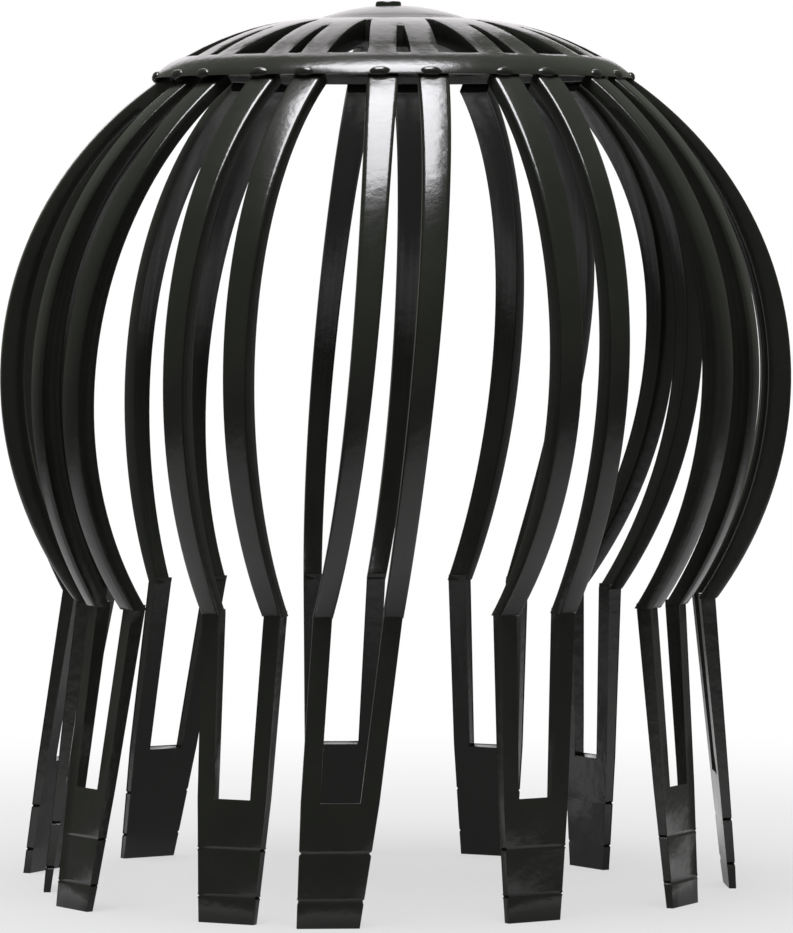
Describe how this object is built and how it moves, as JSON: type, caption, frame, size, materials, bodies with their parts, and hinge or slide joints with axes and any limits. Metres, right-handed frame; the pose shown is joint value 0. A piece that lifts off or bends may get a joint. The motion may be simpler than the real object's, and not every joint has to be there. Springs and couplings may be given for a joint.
{
  "type": "downpipe leaf filter",
  "caption": "Balloon-shaped gutter outlet strainer: a slotted crown carries pairs of bowed ribs that end in springy legs for a downpipe.",
  "frame": {"origin": "on the guard's axis, in the plane that the feet stand on", "axes": "+Z along the axis from the feet to the crown; -Y faces the first leg"},
  "size_m": [0.121, 0.121, 0.1362],
  "materials": {
    "black_plastic": "semi-gloss moulded black"
  },
  "bodies": {
    "root": {"leaf_guard": "black_plastic"}
  },
  "joints": []
}
